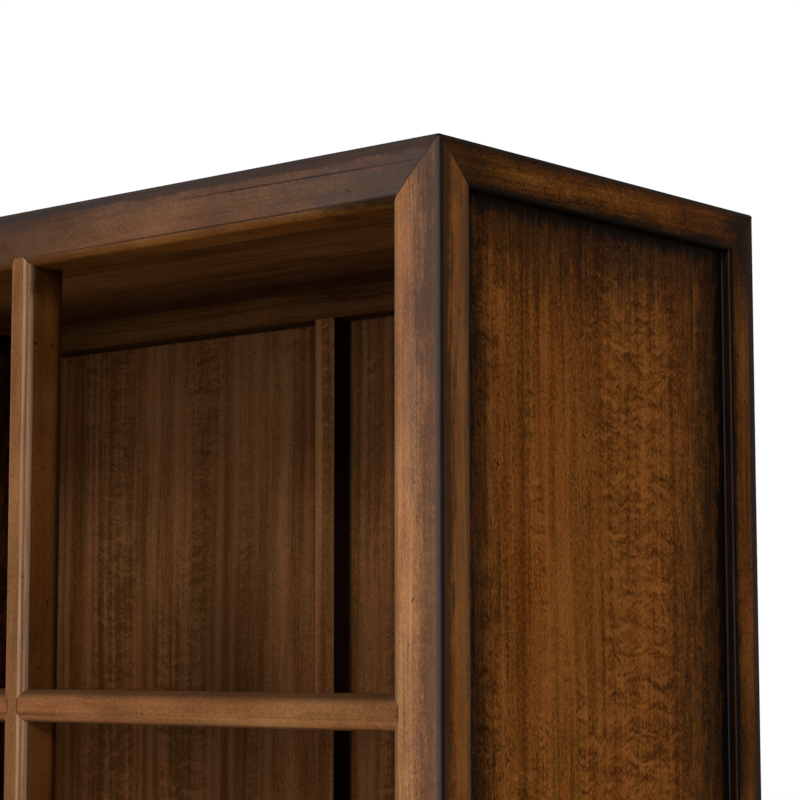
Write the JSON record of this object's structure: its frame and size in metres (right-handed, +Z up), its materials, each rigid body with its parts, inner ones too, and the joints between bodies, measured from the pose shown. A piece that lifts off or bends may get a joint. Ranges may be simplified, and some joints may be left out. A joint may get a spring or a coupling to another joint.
{
  "type": "book cabinet",
  "caption": "Tall wooden book cabinet: two columns of open shelves over a cupboard with a pair of panelled doors, mitred round-edged frames and straight feet with shaped aprons.",
  "frame": {"origin": "on the floor, at the centre of the outline's footprint", "axes": "+Z up, +Y from the front with the doors to the back, +X to the right as seen from the front"},
  "size_m": [0.946, 0.442, 1.95],
  "materials": {
    "frame_wood": "satin, stained and rubbed, nearly black along the edges",
    "panel_wood": "satin, ribbon grain with dark glaze at the edges",
    "inner_wood": "dull, thinly stained",
    "brass": "aged, darkened"
  },
  "bodies": {
    "case": {"apron_front": "frame_wood", "apron_left": "frame_wood", "apron_right": "frame_wood", "back_panel_lower": "panel_wood", "back_panel_upper_left": "panel_wood", "back_panel_upper_right": "panel_wood", "back_rail_bottom": "frame_wood", "back_rail_waist": "frame_wood", "back_stile": "inner_wood", "bottom_board": "inner_wood", "bottom_rail_front": "frame_wood", "corner_dowels": "inner_wood", "cupboard_shelf": "inner_wood", "door_catches": "inner_wood", "mid_post": "frame_wood", "post_back_left": "frame_wood", "post_back_right": "frame_wood", "post_front_left": "frame_wood", "post_front_right": "frame_wood", "shelf_bearer_lower_left": "inner_wood", "shelf_bearer_lower_right": "inner_wood", "shelf_bearer_upper_left": "inner_wood", "shelf_bearer_upper_right": "inner_wood", "shelf_lower": "inner_wood", "shelf_pins": "brass", "shelf_rail_lower_left": "frame_wood", "shelf_rail_lower_right": "frame_wood", "shelf_rail_upper_left": "frame_wood", "shelf_rail_upper_right": "frame_wood", "shelf_upper": "inner_wood", "side_panel_lower_left": "panel_wood", "side_panel_lower_right": "panel_wood", "side_panel_upper_left": "panel_wood", "side_panel_upper_right": "panel_wood", "side_rail_bottom_left": "frame_wood", "side_rail_bottom_right": "frame_wood", "side_rail_waist_left": "frame_wood", "side_rail_waist_right": "frame_wood", "top_panel": "panel_wood", "top_rail_back": "frame_wood", "top_rail_front": "frame_wood", "top_rail_left": "frame_wood", "top_rail_right": "frame_wood", "waist_board": "inner_wood", "waist_rail_front": "frame_wood"},
    "door_right": {"door_right_bottom_rail": "frame_wood", "door_right_hinge_stile": "frame_wood", "door_right_meeting_stile": "frame_wood", "door_right_panel": "panel_wood", "door_right_top_rail": "frame_wood", "pull_mount_right": "brass"},
    "door_left": {"door_left_bottom_rail": "frame_wood", "door_left_hinge_stile": "frame_wood", "door_left_meeting_stile": "frame_wood", "door_left_panel": "panel_wood", "door_left_top_rail": "frame_wood", "pull_mount_left": "brass"},
    "ring_right": {"pull_ring_right": "brass"},
    "ring_left": {"pull_ring_left": "brass"}
  },
  "joints": [
    {"name": "door_right_hinge", "type": "hinge", "parent": "case", "child": "door_right", "pos_m": [0.4115, -0.194, 0.457], "axis": [0, 0, 1], "range_deg": [0, 100]},
    {"name": "door_left_hinge", "type": "hinge", "parent": "case", "child": "door_left", "pos_m": [-0.4115, -0.194, 0.457], "axis": [0, 0, -1], "range_deg": [0, 100]},
    {"name": "ring_right_swing", "type": "hinge", "parent": "door_right", "child": "ring_right", "pos_m": [0.024, -0.2139, 0.457], "axis": [-1, 0, 0], "range_deg": [0, 85]},
    {"name": "ring_left_swing", "type": "hinge", "parent": "door_left", "child": "ring_left", "pos_m": [-0.024, -0.2139, 0.457], "axis": [-1, 0, 0], "range_deg": [0, 85]}
  ]
}
